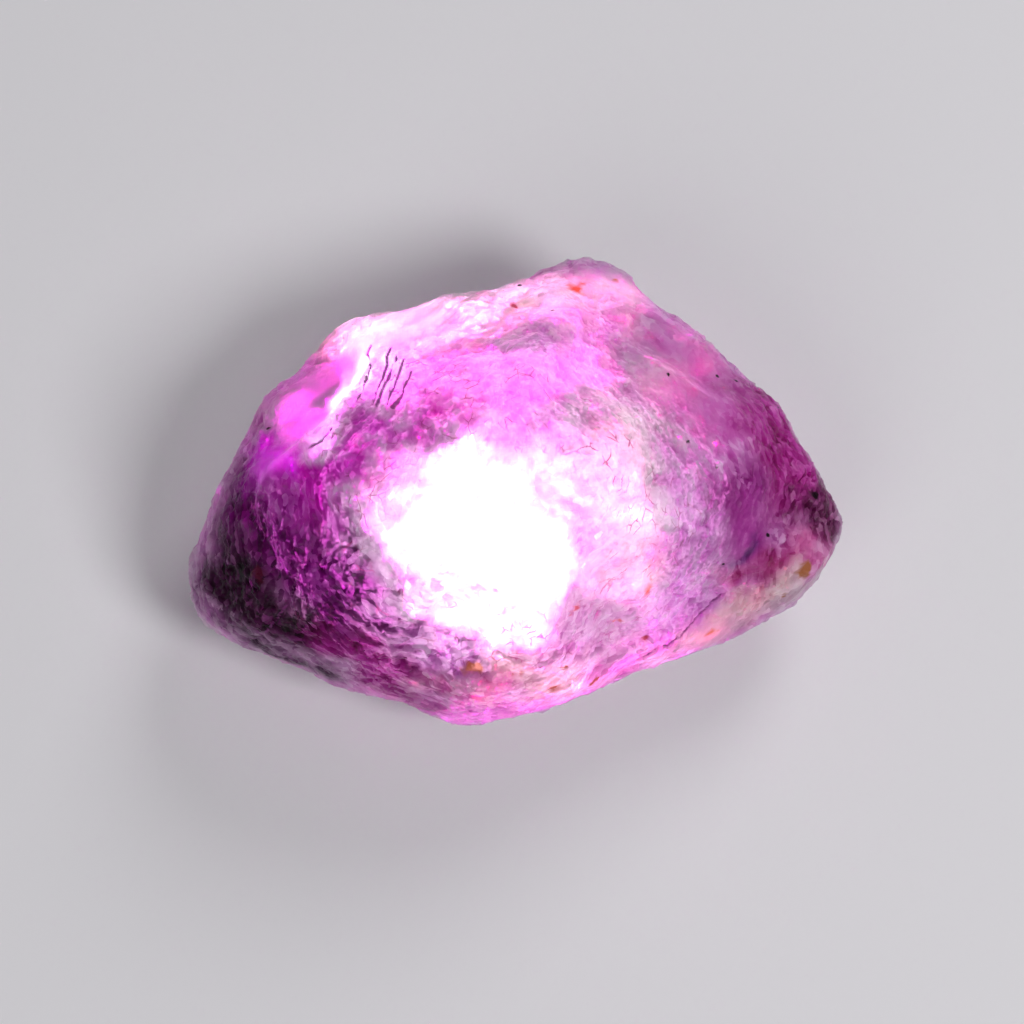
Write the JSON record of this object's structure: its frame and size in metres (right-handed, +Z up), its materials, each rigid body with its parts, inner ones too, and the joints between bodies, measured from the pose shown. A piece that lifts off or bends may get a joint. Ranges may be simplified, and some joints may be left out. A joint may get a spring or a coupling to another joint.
{
  "type": "raw fluorite",
  "caption": "Waterworn lump of raw purple fluorite, translucent and chipped, with a smooth flake scar, ribs, a pale ledge and a flat base to rest on.",
  "frame": {"origin": "under the middle of the stone's box, on the flat face it rests on", "axes": "+Z up from the flat base, +X along the stone's longest extent towards its right end, +Y towards its back"},
  "size_m": [0.052, 0.0368, 0.025],
  "materials": {
    "fluorite": "waterworn translucent purple mineral with a dull to greasy skin, pale pink middle, dark purple left end and rust stains"
  },
  "bodies": {
    "root": {"fluorite_stone": "fluorite"}
  },
  "joints": []
}
